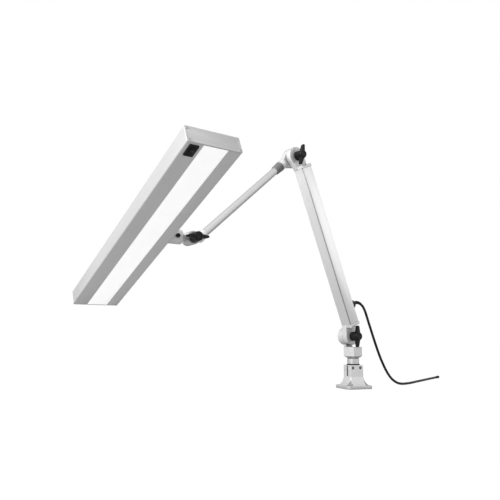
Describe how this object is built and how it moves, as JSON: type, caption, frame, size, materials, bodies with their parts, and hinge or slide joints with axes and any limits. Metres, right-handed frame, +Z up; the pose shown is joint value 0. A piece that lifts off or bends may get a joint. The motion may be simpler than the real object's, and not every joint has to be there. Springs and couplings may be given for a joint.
{
  "type": "architect lamp",
  "caption": "Bench-mounted architect lamp: swivel foot, two folding arms with wing-knob hinges and a long flat lamp head that tilts and rolls.",
  "frame": {"origin": "centre of the four mounting screws, on the foot's underside", "axes": "+Z up from the bench; the arms fold in the XZ plane and reach towards -X; the hinge knobs face -Y"},
  "size_m": [1.0912, 0.5652, 0.6034],
  "materials": {
    "cast_alloy": "satin",
    "anodised": "satin",
    "end_cap": "satin",
    "black_plastic": "satin",
    "dark_ferrule": "satin",
    "bush_plastic": "matte",
    "steel": "satin",
    "black_rubber": "matte",
    "opal": "satin",
    "white_tray": "satin",
    "board": "matte",
    "chips": "satin"
  },
  "bodies": {
    "base": {"foot": "cast_alloy", "socket_bush": "bush_plastic", "grub_screws": "steel"},
    "swivel": {"swivel_ring": "black_plastic", "swivel_spigot": "steel", "keeper_washer": "steel", "keeper_screw": "steel", "swivel_casting": "cast_alloy", "shoulder_bolt": "steel", "mains_lead": "black_rubber", "lead_end_sleeve": "black_rubber"},
    "shoulder_knob": {"shoulder_knob": "black_plastic"},
    "lower_arm": {"shoulder_washer": "bush_plastic", "arm_foot_casting": "cast_alloy", "arm_profile": "anodised", "arm_head_casting": "cast_alloy", "arm_screws": "steel", "gland_body": "black_plastic", "gland_nut": "black_plastic", "strain_relief": "black_rubber", "elbow_washer": "bush_plastic"},
    "elbow_knob": {"elbow_knob": "black_plastic"},
    "upper_arm": {"elbow_bolt": "steel", "elbow_knuckle": "cast_alloy", "tube_ferrule": "dark_ferrule", "upper_tube": "anodised", "wrist_lug": "cast_alloy", "wrist_bolt": "steel"},
    "wrist_knob": {"wrist_knob": "black_plastic"},
    "wrist_link": {"wrist_washer": "bush_plastic", "wrist_link": "cast_alloy", "boss_screw": "black_plastic"},
    "head": {"head_spigot": "steel", "head_housing": "anodised", "reflector_tray": "white_tray", "light_board": "board", "light_chips": "chips", "driver_box": "white_tray", "diffuser": "opal", "end_cap_near": "end_cap", "end_cap_far": "end_cap", "cap_screws": "steel", "switch_bezel": "black_plastic"},
    "rocker": {"switch_rocker": "black_plastic"}
  },
  "joints": [
    {"name": "base_swivel", "type": "hinge", "parent": "base", "child": "swivel", "pos_m": [0, 0, 0.06], "axis": [0, 0, 1], "range_deg": [-170, 170]},
    {"name": "shoulder_tilt", "type": "hinge", "parent": "swivel", "child": "lower_arm", "pos_m": [0.0005, 0, 0.13], "axis": [0, 1, 0], "range_deg": [-40, 50], "deforming": ["mains_lead"]},
    {"name": "elbow_tilt", "type": "hinge", "parent": "lower_arm", "child": "upper_arm", "pos_m": [-0.17503, 0, 0.57675], "axis": [0, 1, 0], "range_deg": [-35, 95]},
    {"name": "wrist_tilt", "type": "hinge", "parent": "upper_arm", "child": "wrist_link", "pos_m": [-0.46644, 0, 0.34039], "axis": [0, 1, 0], "range_deg": [-40, 45]},
    {"name": "head_turn", "type": "hinge", "parent": "wrist_link", "child": "head", "pos_m": [-0.57984, 0.0052, 0.33849], "axis": [1, 0, 0], "range_deg": [-40, 90]},
    {"name": "shoulder_knob_turn", "type": "hinge", "parent": "swivel", "child": "shoulder_knob", "pos_m": [0.0005, 0, 0.13], "axis": [0, 1, 0], "range_deg": [-180, 180]},
    {"name": "elbow_knob_turn", "type": "hinge", "parent": "upper_arm", "child": "elbow_knob", "pos_m": [-0.17503, 0, 0.57675], "axis": [0, 1, 0], "range_deg": [-180, 180]},
    {"name": "wrist_knob_turn", "type": "hinge", "parent": "upper_arm", "child": "wrist_knob", "pos_m": [-0.46644, 0, 0.34039], "axis": [0, 1, 0], "range_deg": [-180, 180]},
    {"name": "rocker_tilt", "type": "hinge", "parent": "head", "child": "rocker", "pos_m": [-0.61684, -0.25743, 0.43655], "axis": [1, 0, 0], "range_deg": [-12, 0]}
  ]
}
